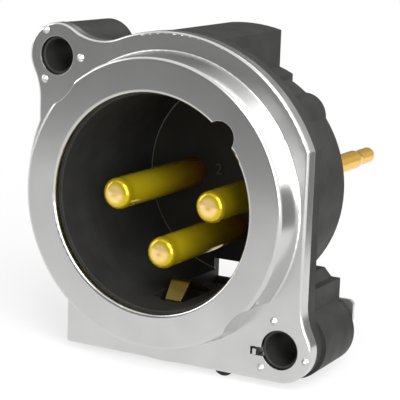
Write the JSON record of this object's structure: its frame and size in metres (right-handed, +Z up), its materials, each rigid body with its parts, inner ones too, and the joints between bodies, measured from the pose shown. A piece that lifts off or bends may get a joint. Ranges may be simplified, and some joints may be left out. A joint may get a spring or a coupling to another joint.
{
  "type": "male xlr connector for a panel and a circuit board",
  "caption": "Male three-pole audio connector socket with a square-eared metal flange, a round collar, gold pins in a deep bore and straight solder tails behind.",
  "frame": {"origin": "on the bore's axis, in the front face of the flange, which meets the panel", "axes": "+Y along the bore's axis from the mouth to the solder tails, +Z up, +X to the right seen from the front"},
  "size_m": [0.0251, 0.0311, 0.0255],
  "materials": {
    "shell_nickel": "satin nickel plate on a zinc die-casting",
    "housing_nylon": "black glass-filled nylon, moulded, fine matt",
    "insert_nylon": "black glass-filled nylon, moulded",
    "contact_gold": "turned brass, gold plated, bright",
    "ground_bronze": "stamped tin-plated bronze strip"
  },
  "bodies": {
    "root": {"front_shell": "shell_nickel", "housing": "housing_nylon", "contact_insert": "insert_nylon", "contact_1": "contact_gold", "contact_2": "contact_gold", "contact_3": "contact_gold", "ground_contact": "ground_bronze"}
  },
  "joints": []
}
